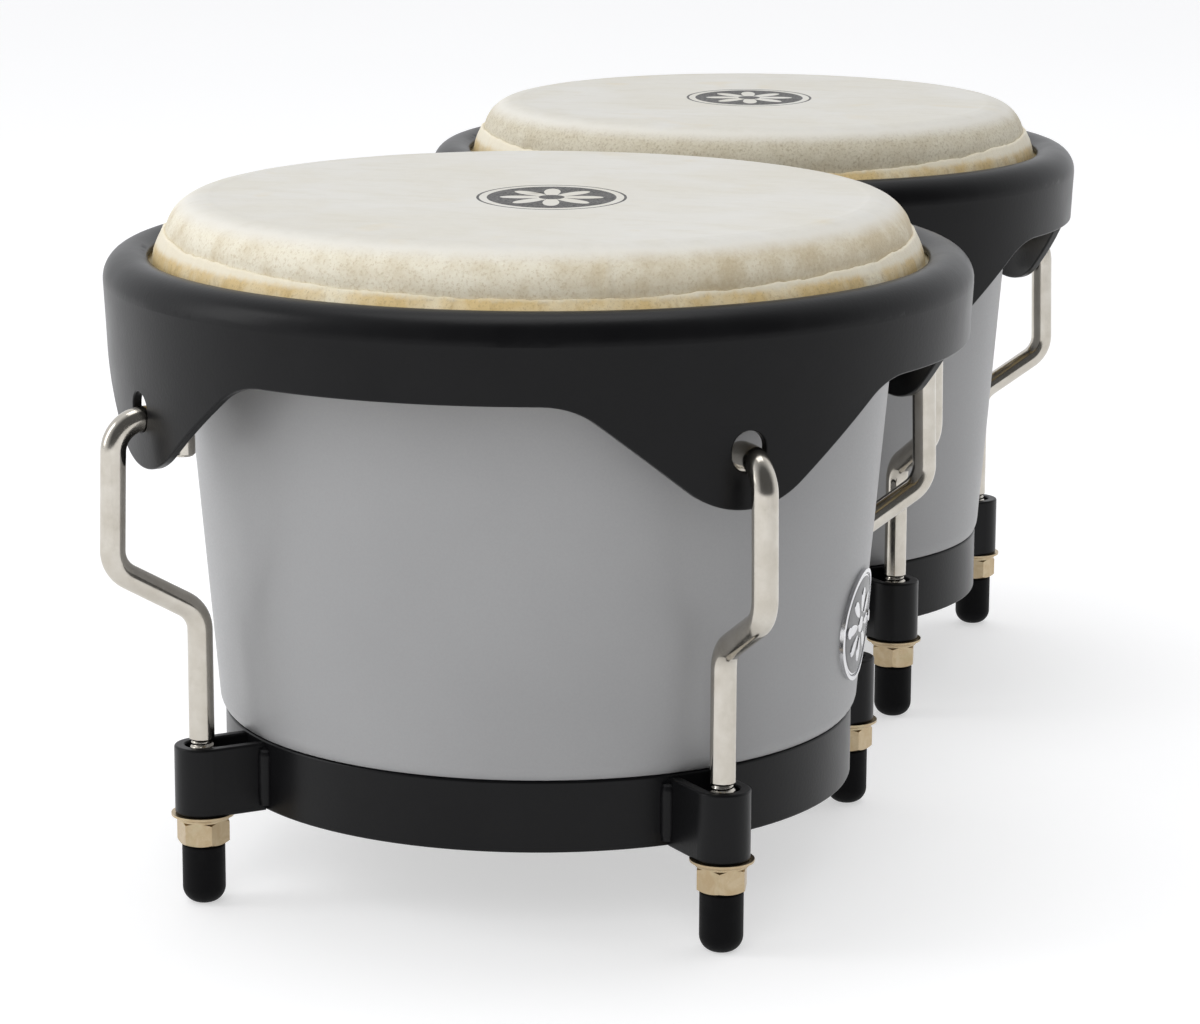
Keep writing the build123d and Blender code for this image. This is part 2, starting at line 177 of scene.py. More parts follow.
def turned(drum, outline, shape):
    """Points and faces of a closed (r, z) outline swept about a drum's axis; shape moves each point."""
    points, faces = [], []
    for i in range(AROUND):
        angle = 2 * pi * i / AROUND
        for k, (r, z) in enumerate(outline):
            r, z = shape(angle, k, r, z)
            points.append((drum["x"] + r * cos(angle), r * sin(angle), z))
    count = len(outline)
    for i in range(AROUND):
        a, b = i * count, (i + 1) % AROUND * count
        faces += [(a + k, b + k, b + (k + 1) % count, a + (k + 1) % count) for k in range(count)]
    return points, faces


def spread_over(start, end, steps):
    """Evenly spaced values between two numbers, the first left out."""
    return [start + (end - start) * (k + 1) / steps for k in range(steps)]


# ---------------------------------------------------------------- materials
class Paint:
    """A material being made: most methods add nodes and give back the last one's output."""

    def __init__(self, name, **sockets):
        self.material = bpy.data.materials.new(name)
        self.material.use_nodes = True
        self.tree = self.material.node_tree
        self.tree.nodes.clear()
        self.shader = self.tree.nodes.new("ShaderNodeBsdfPrincipled")
        output = self.tree.nodes.new("ShaderNodeOutputMaterial")
        self.tree.links.new(self.shader.outputs[0], output.inputs["Surface"])
        for socket, value in sockets.items():
            self.shader.inputs[socket.replace("_", " ")].default_value = value
        self.where = self.add("ShaderNodeTexCoord").outputs["Object"]

    def add(self, kind, inputs=(), **settings):
        node = self.tree.nodes.new(kind)
        for name, value in settings.items():
            setattr(node, name, value)
        for socket, value in dict(inputs).items():
            self.join(value, node.inputs[socket])
        return node

    def join(self, value, socket):
        if isinstance(value, bpy.types.NodeSocket):
            self.tree.links.new(value, socket)
        else:
            socket.default_value = value

    def noise(self, size, detail=4.0, rough=0.5, stretch=None, distortion=0.0):
        """Noise between 0 and 1 whose main blotches are about size across, in metres."""
        where = self.where
        if stretch:
            where = self.add("ShaderNodeVectorMath", {0: where, 1: stretch}, operation="MULTIPLY").outputs[0]
        values = {"Vector": where, "Scale": 1 / size, "Detail": detail, "Roughness": rough}
        values["Distortion"] = distortion
        return self.add("ShaderNodeTexNoise", values).outputs["Fac"]

    def cells(self, size):
        """Smoothed distance to the nearest point of a scatter with cells about size across, in metres."""
        values = {"Vector": self.where, "Scale": 1 / size, "Randomness": 1.0}
        return self.add("ShaderNodeTexVoronoi", values, feature="SMOOTH_F1").outputs["Distance"]

    def scale(self, value, low, high, to_low=0.0, to_high=1.0, smooth=False):
        """Maps low..high to to_low..to_high, clamped."""
        values = {"Value": value, "From Min": low, "From Max": high, "To Min": to_low, "To Max": to_high}
        kind = "SMOOTHSTEP" if smooth else "LINEAR"
        return self.add("ShaderNodeMapRange", values, interpolation_type=kind, clamp=True).outputs["Result"]

    def sum(self, operation, a, b=0.0, c=0.0):
        return self.add("ShaderNodeMath", {0: a, 1: b, 2: c}, operation=operation).outputs[0]

    def mix(self, factor, a, b, blend="MIX"):
        node = self.add("ShaderNodeMix", data_type="RGBA", blend_type=blend)
        for socket, value in (("Factor_Float", factor), ("A_Color", a), ("B_Color", b)):
            found = next(s for s in node.inputs if s.identifier == socket)
            self.join(value if isinstance(value, (float, bpy.types.NodeSocket)) else (*value, 1.0), found)
        return next(s for s in node.outputs if s.identifier == "Result_Color")

    def axes(self, where):
        return self.add("ShaderNodeSeparateXYZ", {0: where}).outputs

    def bump(self, height, distance, strength=1.0):
        values = {"Height": height, "Distance": distance, "Strength": strength}
        before = self.shader.inputs["Normal"]
        if before.is_linked:
            values["Normal"] = before.links[0].from_socket
        self.tree.links.new(self.add("ShaderNodeBump", values).outputs[0], before)

    def finish(self, **sockets):
        for socket, value in sockets.items():
            if isinstance(value, tuple):
                value = (*value, 1.0)
            self.join(value, self.shader.inputs[socket.replace("_", " ")])
        return self.material


def rosette(paint, along, across, reach):
    """1 inside a plain eight-petal rosette of a given radius, else 0, and the distance from its middle."""
    turn = paint.sum("ARCTAN2", across, along)
    squares = paint.sum("ADD", paint.sum("POWER", along, 2.0), paint.sum("POWER", across, 2.0))
    radius = paint.sum("SQRT", squares)
    petal = paint.sum("ABSOLUTE", paint.sum("COSINE", paint.sum("MULTIPLY", turn, 4.0)))
    share = paint.sum("DIVIDE", radius, reach)
    outer = paint.sum("LESS_THAN", share, paint.sum("MULTIPLY_ADD", petal, 0.62, 0.18))
    return paint.sum("MULTIPLY", outer, paint.sum("GREATER_THAN", share, 0.2)), radius


def hide_paint(drum):
    """Dry rawhide: pale fibrous top with an ink stamp, white shoulder and a tanned, pored side, darkened
    towards -Y partly by painted shade.
    """
    paint = Paint(f"{drum['name']}_rawhide", Specular_IOR_Level=0.35)
    centre = (drum["x"], 0.0, 0.0)
    local = paint.add("ShaderNodeVectorMath", {0: paint.where, 1: centre}, operation="SUBTRACT").outputs[0]
    shift = (drum["seed"], 0.0, 0.0)
    paint.where = paint.add("ShaderNodeVectorMath", {0: local, 1: shift}, operation="ADD").outputs[0]
    x, y, z = paint.axes(local)[:3]

    cloud = paint.noise(34 * MM, 3.0, 0.55, distortion=0.6)
    fibre = paint.noise(5.5 * MM, 7.0, 0.68, stretch=(1.0, 0.35, 1.0))
    top = paint.mix(paint.scale(cloud, 0.36, 0.64), (0.69, 0.662, 0.588), (0.718, 0.70, 0.652))
    top = paint.mix(paint.scale(fibre, 0.52, 0.78, 0.0, 0.55), top, (0.645, 0.61, 0.515))
    spots = paint.scale(paint.noise(15 * MM, 2.0, 0.4), 0.66, 0.8, 0.0, 0.5)
    top = paint.mix(spots, top, (0.70, 0.62, 0.46))

    pores = paint.noise(0.8 * MM, 3.0, 0.75)
    blotch = paint.noise(9 * MM, 4.0, 0.6)
    # Random blotches of the hide plus a painted shade that darkens the side towards -Y.
    warmth_and_shade = paint.sum("ADD", blotch, paint.scale(y, 0.0, -90 * MM, 0.0, drum["tan_and_shade_lean"]))
    side = paint.mix(paint.scale(warmth_and_shade, 0.42, 0.80), *drum["side_colours"])
    side = paint.mix(paint.scale(pores, 0.52, 0.66, 0.0, 0.55), side, drum["pore_colour"])
    side = paint.mix(paint.scale(pores, 0.47, 0.34, 0.0, 0.25), side, (0.82, 0.78, 0.66))

    drop = paint.sum("SUBTRACT", drum["top"], z)
    wander = paint.sum("MULTIPLY_ADD", paint.noise(5 * MM, 6.0, 0.8), 1.8 * MM, -0.9 * MM)
    level = paint.sum("ADD", drop, wander)
    shoulder = paint.scale(level, -0.3 * MM, 1.6 * MM, smooth=True)
    tanned = paint.scale(level, 0.6 * MM, 4.6 * MM, smooth=True)
    colour = paint.mix(shoulder, top, (0.785, 0.76, 0.695))
    colour = paint.mix(tanned, colour, side)

    x, y = paint.sum("SUBTRACT", x, drum["stamp"][0]), paint.sum("SUBTRACT", y, drum["stamp"][1])
    turned_x = paint.sum("MULTIPLY", x, cos(STAMP_TURN))
    turned_y = paint.sum("MULTIPLY", x, -sin(STAMP_TURN))
    along = paint.sum("MULTIPLY_ADD", y, sin(STAMP_TURN), turned_x)
    along = paint.sum("DIVIDE", along, STAMP_STRETCH)
    across = paint.sum("MULTIPLY_ADD", y, cos(STAMP_TURN), turned_y)
    petals, radius = rosette(paint, along, across, STAMP_R)
    disc = paint.sum("LESS_THAN", radius, STAMP_R)
    ring = paint.sum("COMPARE", radius, 1.14 * STAMP_R, 0.35 * MM)
    ink = paint.sum("MAXIMUM", paint.sum("SUBTRACT", disc, petals), ring)
    worn = paint.scale(paint.noise(0.9 * MM, 3.0, 0.8), 0.3, 0.6, 0.72, 1.0)
    above = paint.sum("LESS_THAN", drop, 1 * MM)
    ink = paint.sum("MULTIPLY", paint.sum("MULTIPLY", ink, worn), above)
    colour = paint.mix(ink, colour, (0.016, 0.016, 0.018))

    grain = paint.scale(tanned, 0.0, 1.0, 0.12, 1.0)
    paint.bump(paint.sum("MULTIPLY", pores, grain), 0.35 * MM, 0.8)
    paint.bump(fibre, 0.25 * MM, 0.35)
    return paint.finish(Base_Color=colour, Roughness=paint.scale(fibre, 0.3, 0.7, 0.5, 0.68))


def tail_paint(drum):
    """The cut strip of hide above the hoop: amber, streaked from top to bottom, with a pale cut edge."""
    paint = Paint(f"{drum['name']}_rawhide_tail", Specular_IOR_Level=0.4)
    shift = (drum["seed"], drum["seed"], 0.0)
    z = paint.axes(paint.where)[2]
    paint.where = paint.add("ShaderNodeVectorMath", {0: paint.where, 1: shift}, operation="ADD").outputs[0]
    patches = paint.noise(13 * MM, 3.0, 0.55, stretch=(1.0, 1.0, 0.4))
    streaks = paint.noise(2.4 * MM, 5.0, 0.65, stretch=(1.0, 1.0, 0.3))
    pores = paint.noise(0.6 * MM, 2.0, 0.7)
    colour = paint.mix(paint.scale(patches, 0.30, 0.56), (0.86, 0.78, 0.58), (0.74, 0.56, 0.27))
    colour = paint.mix(paint.scale(streaks, 0.5, 0.72, 0.0, 0.55), colour, (0.48, 0.33, 0.13))
    colour = paint.mix(paint.scale(pores, 0.55, 0.7, 0.0, 0.35), colour, (0.3, 0.2, 0.1))
    wander = paint.sum("MULTIPLY_ADD", streaks, 2.4 * MM, -1.2 * MM)
    pale = paint.scale(paint.sum("ADD", z, wander), TAIL_TOP - 0.9 * MM, TAIL_TOP + 0.9 * MM, smooth=True)
    colour = paint.mix(paint.scale(pale, 0.0, 1.0, 0.0, 0.9), colour, (0.86, 0.80, 0.65))
    paint.bump(streaks, 0.5 * MM, 0.6)
    paint.bump(pores, 0.2 * MM, 0.6)
    return paint.finish(Base_Color=colour, Roughness=paint.scale(patches, 0.3, 0.7, 0.42, 0.6))


def powder_coat():
    """Satin black powder coat: faint orange peel and a slightly uneven sheen."""
    paint = Paint("powder_coat", Specular_IOR_Level=0.17)
    peel = paint.noise(0.9 * MM, 2.0, 0.5)
    sheen = paint.noise(28 * MM, 3.0, 0.6)
    paint.bump(peel, 0.05 * MM, 0.5)
    colour = paint.mix(paint.scale(sheen, 0.35, 0.65), (0.004, 0.004, 0.0045), (0.006, 0.006, 0.0066))
    return paint.finish(Base_Color=colour, Roughness=paint.scale(sheen, 0.3, 0.7, 0.28, 0.36))


def shell_paint():
    """Moulded grey shell: satin, even in colour, with a fine moulded texture."""
    paint = Paint("grey_shell", Specular_IOR_Level=0.45)
    fine = paint.noise(0.6 * MM, 3.0, 0.6)
    broad = paint.noise(45 * MM, 2.0, 0.5)
    colour = paint.mix(paint.scale(broad, 0.3, 0.7), (0.30, 0.30, 0.303), (0.318, 0.318, 0.321))
    speck = paint.scale(fine, 0.35, 0.65, 0.0, 0.1)
    colour = paint.mix(speck, colour, (0.21, 0.21, 0.215))
    paint.bump(fine, 0.03 * MM, 0.5)
    paint.bump(broad, 1.2 * MM, 0.12)
    return paint.finish(Base_Color=colour, Roughness=paint.scale(fine, 0.3, 0.7, 0.34, 0.42))


def nickel_paint():
    """Bright nickel plate: warm, a little milky, with drawn scratches along the rod."""
    paint = Paint("nickel_plate", Metallic=1.0)
    drawn = paint.noise(1.1 * MM, 5.0, 0.7, stretch=(1.0, 1.0, 0.05))
    haze = paint.noise(7 * MM, 4.0, 0.6)
    colour = paint.mix(paint.scale(haze, 0.35, 0.65), (0.575, 0.545, 0.49), (0.50, 0.465, 0.405))
    scratched = paint.scale(drawn, 0.45, 0.75, 0.0, 0.10)
    rough = paint.sum("ADD", paint.scale(haze, 0.3, 0.7, 0.10, 0.18), scratched)
    paint.bump(drawn, 0.02 * MM, 0.35)
    return paint.finish(Base_Color=colour, Roughness=rough)


def zinc_paint():
    """Yellow zinc plate: dull gold with faint pink and green clouds."""
    paint = Paint("yellow_zinc_plate", Metallic=1.0)
    cloud = paint.noise(3.6 * MM, 3.0, 0.6, distortion=0.8)
    other = paint.noise(5.1 * MM, 3.0, 0.6, stretch=(1.0, -1.0, 1.0))
    fine = paint.noise(0.5 * MM, 3.0, 0.7)
    colour = paint.mix(paint.scale(cloud, 0.35, 0.65), (0.53, 0.43, 0.285), (0.47, 0.36, 0.22))
    colour = paint.mix(paint.scale(other, 0.55, 0.75, 0.0, 0.35), colour, (0.50, 0.47, 0.30))
    paint.bump(fine, 0.03 * MM, 0.6)
    return paint.finish(Base_Color=colour, Roughness=paint.scale(fine, 0.3, 0.7, 0.26, 0.42))


def rubber_paint():
    """Matt black rubber with a faint moulded grain."""
    paint = Paint("foot_rubber", Specular_IOR_Level=0.08)
    grain = paint.noise(0.45 * MM, 3.0, 0.6)
    dust = paint.noise(4 * MM, 4.0, 0.65)
    colour = paint.mix(paint.scale(dust, 0.5, 0.8, 0.0, 0.5), (0.0035, 0.0035, 0.004), (0.008, 0.008, 0.008))
    paint.bump(grain, 0.05 * MM, 0.6)
    return paint.finish(Base_Color=colour, Roughness=paint.scale(grain, 0.3, 0.7, 0.46, 0.6))


def block_paint():
    """Black moulded block with a spark-eroded texture."""
    paint = Paint("moulded_block", Specular_IOR_Level=0.4)
    pebble = paint.cells(0.8 * MM)
    fine = paint.noise(0.4 * MM, 3.0, 0.6)
    colour = paint.mix(paint.scale(fine, 0.35, 0.65), (0.011, 0.011, 0.012), (0.02, 0.02, 0.021))
    paint.bump(pebble, 0.12 * MM, 0.5)
    paint.bump(fine, 0.04 * MM, 0.5)
    return paint.finish(Base_Color=colour, Roughness=paint.scale(pebble, 0.0, 0.6, 0.62, 0.46))


def bolt_paint():
    """Clear zinc plated steel with rolling marks."""
    paint = Paint("zinc_steel", Metallic=1.0)
    fine = paint.noise(0.5 * MM, 4.0, 0.7, stretch=(0.1, 1.0, 1.0))
    cloud = paint.noise(4 * MM, 3.0, 0.6)
    colour = paint.mix(paint.scale(cloud, 0.35, 0.65), (0.50, 0.51, 0.53), (0.42, 0.43, 0.45))
    paint.bump(fine, 0.03 * MM, 0.6)
    return paint.finish(Base_Color=colour, Roughness=paint.scale(cloud, 0.3, 0.7, 0.28, 0.42))


def brass_paint():
    """Turned brass inserts with fine tool rings."""
    paint = Paint("turned_brass", Metallic=1.0)
    rings = paint.noise(0.35 * MM, 3.0, 0.6, stretch=(1.0, 0.05, 0.05))
    colour = paint.mix(paint.scale(rings, 0.4, 0.6), (0.68, 0.50, 0.24), (0.60, 0.43, 0.2))
    paint.bump(rings, 0.04 * MM, 0.6)
    return paint.finish(Base_Color=colour, Roughness=paint.scale(rings, 0.3, 0.7, 0.25, 0.38))


def badge_paint():
    """Polished badge metal with hairline scratches."""
    paint = Paint("badge_polish", Metallic=1.0)
    hair = paint.noise(0.5 * MM, 5.0, 0.75, stretch=(1.0, 1.0, 0.12))
    haze = paint.noise(6 * MM, 3.0, 0.6)
    colour = paint.mix(paint.scale(haze, 0.35, 0.65), (0.74, 0.74, 0.75), (0.64, 0.64, 0.655))
    paint.bump(hair, 0.015 * MM, 0.5)
    return paint.finish(Base_Color=colour, Roughness=paint.scale(hair, 0.35, 0.75, 0.1, 0.24))


def enamel_paint():
    """Grey-black enamel sunk in the badge."""
    paint = Paint("badge_enamel", Specular_IOR_Level=0.5, Coat_Weight=0.4, Coat_Roughness=0.12)
    fleck = paint.noise(0.5 * MM, 3.0, 0.7)
    cloud = paint.noise(5 * MM, 3.0, 0.6)
    colour = paint.mix(paint.scale(cloud, 0.35, 0.65), (0.018, 0.018, 0.02), (0.03, 0.03, 0.033))
    colour = paint.mix(paint.scale(fleck, 0.6, 0.75, 0.0, 0.4), colour, (0.09, 0.09, 0.095))
    paint.bump(fleck, 0.03 * MM, 0.5)
    return paint.finish(Base_Color=colour, Roughness=paint.scale(cloud, 0.3, 0.7, 0.3, 0.42))


def floor_paint():
    """Plain pale studio floor."""
    paint = Paint("studio_floor", Specular_IOR_Level=0.1, Emission_Strength=0.5)
    broad = paint.noise(0.9, 2.0, 0.5)
    colour = paint.mix(paint.scale(broad, 0.3, 0.7), (0.64, 0.64, 0.645), (0.66, 0.66, 0.665))
    return paint.finish(Base_Color=colour, Emission_Color=(1.0, 1.0, 1.0), Roughness=0.75)


# ---------------------------------------------------------------- rawhide
def rough_noise(seed, angle, size, radius, z=0.0):
    """Smooth noise from -1 to 1 on a drum's side, with blotches about size across."""
    place = Vector((radius * cos(angle), radius * sin(angle), z)) / size
    return noise.noise(place + Vector((seed, 2 * seed, 0)))


def head_skin(drum, paint):
    """The stretched hide, from the flat top over the playing edge to its end beside the hoop."""
    edge, top, seed = drum["edge"], drum["top"], drum["seed"]
    lean = atan(drum["spread"])
    side_r, side_z = edge + EDGE_ROUND * cos(lean), top - EDGE_ROUND * (1 + sin(lean))
    inner = EDGE_ROUND - SKIN
    low_r = side_r - (side_z - SKIN_LOW) * drum["spread"]
    outline = [(SKIN_CENTRE, top)]
    outline += [(r, top) for r in spread_over(SKIN_CENTRE, edge - 12 * MM, 24)]
    outline += [(r, top) for r in spread_over(edge - 12 * MM, edge, 16)]
    turns = spread_over(pi / 2, -lean, 20)
    outline += [(edge + EDGE_ROUND * cos(t), top - EDGE_ROUND + EDGE_ROUND * sin(t)) for t in turns]
    shares = spread_over(0, 1, 14)
    outline += [(side_r + (low_r - side_r) * s, side_z + (SKIN_LOW - side_z) * s) for s in shares]
    outer = len(outline)
    outline += [(low_r - SKIN, SKIN_LOW), (side_r - SKIN, side_z)]
    turns = spread_over(-lean, pi / 2, 6)
    outline += [(edge + inner * cos(t), top - EDGE_ROUND + inner * sin(t)) for t in turns]
    outline += [(r, top - SKIN) for r in spread_over(edge, SKIN_CENTRE, 5)]

    def shape(angle, k, r, z):
        if k >= outer:
            return r, z
        steep = min(1.0, max(0.0, (top - z) / (3 * MM)))
        near = min(1.0, r / edge)
        swell = 0.10 * rough_noise(seed, angle, 11 * MM, r, z)
        swell += 0.05 * rough_noise(seed, angle, 3.1 * MM, r, z)
        crease = 0.16 * exp(-((r - edge + 1.0 * MM) / (0.55 * MM)) ** 2) if z > top - 0.1 * MM else 0.0
        away = (angle - SCAR) * r + 0.8 * MM * rough_noise(seed, z / MM, 4 * MM, 0.0)
        ridge = 0.35 * exp(-(away / (0.8 * MM)) ** 2) * steep if drum["name"] == "large" else 0.0
        push = (swell * (0.35 * near + 0.65 * steep) + ridge) * MM
        return r + push * steep, z + (push * (1 - steep) + crease * MM)

    points, faces = turned(drum, outline, shape)
    piece = add_piece(f"{drum['name']}_rawhide_head", points, faces, paint)
    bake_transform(piece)
    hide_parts(f"{drum['name']}_head")
    return piece


def tail_skin(drum, paint):
    """Hide wrapped round the hoop, with its cut end standing up against the head inside the rim."""
    rim, edge, seed = drum["rim"], drum["edge"], drum["seed"]
    hoop = rim - HOOP_INSET
    face = edge + EDGE_ROUND - 0.5 * MM
    turns = spread_over(radians(-102), radians(130), 20)
    outline = [(hoop + WRAP * cos(t), HOOP_Z + WRAP * sin(t)) for t in turns]
    first = len(outline)
    outline += [
        (rim - 12.4 * MM, TAIL_LOW), (rim - 12.6 * MM, TAIL_LOW + 1 * MM),
        (rim - 13.0 * MM, TAIL_LOW + 2 * MM),
        (face + 2.6 * MM, TAIL_LOW + 3 * MM), (face + 1.9 * MM, TAIL_TOP - 1.0 * MM),
        (face + 1.5 * MM, TAIL_TOP - 0.5 * MM), (face + 1.3 * MM, TAIL_TOP - 0.2 * MM),
        (face + 1.0 * MM, TAIL_TOP), (face + 0.6 * MM, TAIL_TOP), (face + 0.3 * MM, TAIL_TOP - 0.1 * MM),
        (face, TAIL_TOP - 0.4 * MM), (face, TAIL_LOW + 3 * MM),
    ]
    last = len(outline)
    collar = edge + EDGE_ROUND - 2.9 * MM
    outline += [(face + 0.6 * MM, COLLAR_HIGH + 4 * MM), (face + 0.6 * MM, COLLAR_HIGH)]
    outline += [(collar, COLLAR_HIGH), (collar - 0.3 * MM, COLLAR_LOW)]

    def shape(angle, k, r, z):
        if not first <= k < last:
            return r, z
        rise = (z - TAIL_LOW) / (TAIL_TOP - TAIL_LOW)
        height = 1.7 - 1.7 * cos(2 * (angle - NEAR_SIDE))
        for share, size in ((0.5, 60), (0.5, 14), (0.35, 4.5), (0.25, 1.6)):
            height += share * rough_noise(seed, angle, size * MM, edge)
        loose = max(0.0, 0.2 * rough_noise(seed + 5, angle, 22 * MM, edge))
        wave = 0.14 * rough_noise(seed + 9, angle, 3.2 * MM, edge, z)
        wave += 0.06 * rough_noise(seed, angle, 1.3 * MM, edge, z)
        return r + (loose * rise + max(wave, -0.1)) * MM, z + height * rise * MM

    points, faces = turned(drum, outline, shape)
    piece = add_piece(f"{drum['name']}_rawhide_tail", points, faces, paint)
    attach(piece, f"{drum['name']}_tuning")
    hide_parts(f"{drum['name']}_tucked_skin")
    return piece


# ---------------------------------------------------------------- rods and welds
def rounded_path(corners, radii):
    """Points and headings along runs of straight rod joined by bends, in the r-z plane."""
    path = [(Vector(corners[0]), (Vector(corners[1]) - Vector(corners[0])).normalized())]
    for k, radius in enumerate(radii, start=1):
        corner = Vector(corners[k])
        before = (corner - Vector(corners[k - 1])).normalized()
        after = (Vector(corners[k + 1]) - corner).normalized()
        bend = before.angle(after)
        side = 1 if before.x * after.y - before.y * after.x > 0 else -1
        start = corner - before * radius * tan(bend / 2)
        centre = start + side * radius * Vector((-before.y, before.x))
        count = max(2, round(bend / BEND_STEP))
        for i in range(count + 1):
            turn = Matrix.Rotation(side * bend * i / count, 2)
            path.append((centre + turn @ (start - centre), turn @ before))
    return path


def hook_rod(drum, paint):
    """Four bent rods with rolled threads, each hooked over a tab and cranked in to its lug."""
    rim, lug = drum["rim"], drum["lug"]
    corners = [
        (rim - TIP_INSET, HOOK_TIP), (rim - TIP_INSET, HOOK_Z), (rim + drum["clear"], HOOK_Z),
        (rim + drum["clear"] + 1 * MM, CRANK_HIGH), (lug, CRANK_LOW), (lug, THREAD_TOP),
    ]
    path = rounded_path(corners, HOOK_BENDS)
    tip, heading = path[0]
    rings = [(tip, heading, ROD_R - 0.9 * MM), (tip + heading * 0.15 * MM, heading, ROD_R - 0.5 * MM)]
    rings += [(tip + heading * s * MM, heading, ROD_R) for s in (0.7, 3.0)]
    rings += [(at, way, ROD_R) for at, way in path[1:]]
    down = Vector((0, -1))
    for z, radius in ((THREAD_TOP + 0.9 * MM, ROD_R), (THREAD_TOP + 0.3 * MM, THREAD_R - THREAD_DEPTH)):
        rings.append((Vector((lug, z)), down, radius))
    steps = round((THREAD_TOP - ROD_END) / (THREAD_PITCH / 8))
    for k in range(steps + 1):
        z = THREAD_TOP + (ROD_END - THREAD_TOP) * k / steps
        rings.append((Vector((lug, z)), down, None))
    rings.append((Vector((lug, ROD_END - 0.4 * MM)), down, THREAD_R - THREAD_DEPTH))

    def thread_radius(turn, z):
        share = (z / THREAD_PITCH - turn / (2 * pi)) % 1.0
        crest = min(1.0, max(0.0, 1.25 * (2 * abs(share - 0.5)) - 0.1))
        fade = min(1.0, (THREAD_TOP + 0.2 * MM - z) / THREAD_PITCH, (z - ROD_END) / THREAD_PITCH + 0.2)
        return THREAD_R - THREAD_DEPTH + THREAD_DEPTH * crest * fade

    loops = []
    for at, way, radius in rings:
        aside = Vector((-way.y, way.x))
        loop = []
        for i in range(ROD_SECTORS):
            turn = 2 * pi * i / ROD_SECTORS
            reach = thread_radius(turn, at.y) if radius is None else radius
            out = at + aside * reach * cos(turn)
            loop.append(Vector((out.x, reach * sin(turn), out.y)))
        loops.append(loop)
    points, faces = loft(loops)
    swing = Matrix.Rotation(radians(drum["hook_turn"]), 4, "Z") @ Matrix.Translation((-lug, 0, 0))
    for number, angle in enumerate(LUG_ANGLES, start=1):
        place = Matrix.Translation((drum["x"], 0, 0)) @ Matrix.Rotation(radians(angle), 4, "Z")
        place = place @ Matrix.Translation((lug, 0, 0)) @ swing
        piece = add_piece(f"{drum['name']}_rod_{number}", [place @ p for p in points], faces, paint)
        piece.data.set_sharp_from_angle(angle=radians(40))
        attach(piece, f"{drum['name']}_tuning")
        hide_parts(f"{drum['name']}_hook_rod_{number}")


def weld_beads(drum, paint):
    """Smooth, slightly uneven weld beads down both sides of each lug strap."""
    corner = sqrt(drum["ring"] ** 2 - STRAP_R ** 2)
    low, high = drum["ring_low"] + 1.2 * MM, drum["ring_high"] - 1.6 * MM
    parts = []
    for angle in LUG_ANGLES:
        place = Matrix.Translation((drum["x"], 0, 0)) @ Matrix.Rotation(radians(angle), 4, "Z")
        for side in (-1, 1):
            seed = angle + side + drum["seed"]
            loops = []
            for k in range(BEAD_STEPS + 1):
                share = k / BEAD_STEPS
                z = low + (high - low) * share
                ripple = abs(sin(pi * (z - low) / BEAD_RIPPLE + 0.5 * noise.noise(Vector((seed, z / MM, 0)))))
                ends = sqrt(max(0.02, 1 - abs(2 * share - 1) ** 8))
                loop = []
                for i in range(BEAD_SECTORS):
                    turn = 2 * pi * i / BEAD_SECTORS
                    lump = 0.06 * MM * noise.noise(Vector((seed + cos(turn), sin(turn), z / (1.5 * MM))))
                    reach = (BEAD_R - 0.05 * MM + 0.03 * MM * ripple + lump) * ends
                    loop.append(Vector((corner + reach * cos(turn), side * STRAP_R + reach * sin(turn), z)))
                loops.append(loop)
            points, faces = loft(loops)
            parts.append(([place @ p for p in points], faces))
    piece = add_piece(f"{drum['name']}_weld_beads", *joined(parts), paint)
    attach(piece, "root")


# ---------------------------------------------------------------- badge
def badge_point(drum, y, z, offset):
    """A point on the large shell's side in front of the badge, from flat badge coordinates."""
    middle = (badge_box[0].z + badge_box[1].z) / 2
    reach = drum["cone"] + (middle + z - drum["top"] + EDGE_ROUND) * drum["spread"] + offset
    x = sqrt(reach ** 2 - y ** 2)
    turn = Matrix.Rotation(BADGE_ANGLE, 4, "Z")
    return Matrix.Translation((drum["x"], 0, 0)) @ turn @ Vector((x, y, middle + z))


def badge_plate(drum, outline, low, high):
    """Points and faces of a thin curved plate with a rounded rim over a closed outline of (y, z) points."""
    mid_y, mid_z = sum(p[0] for p in outline) / len(outline), sum(p[1] for p in outline) / len(outline)
    profile = [(1.0, low), (1.0, high - 0.12 * MM), (0.97, high - 0.03 * MM), (0.92, high)]
    profile += [(0.6, high), (0.25, high)]
    rings = []
    for share, offset in profile:
        shrunk = [(mid_y + (y - mid_y) * share, mid_z + (z - mid_z) * share) for y, z in outline]
        rings.append([badge_point(drum, y, z, offset) for y, z in shrunk])
    return loft(rings)


def circle(count):
    """Angles evenly spaced round a circle."""
    return [2 * pi * i / count for i in range(count)]


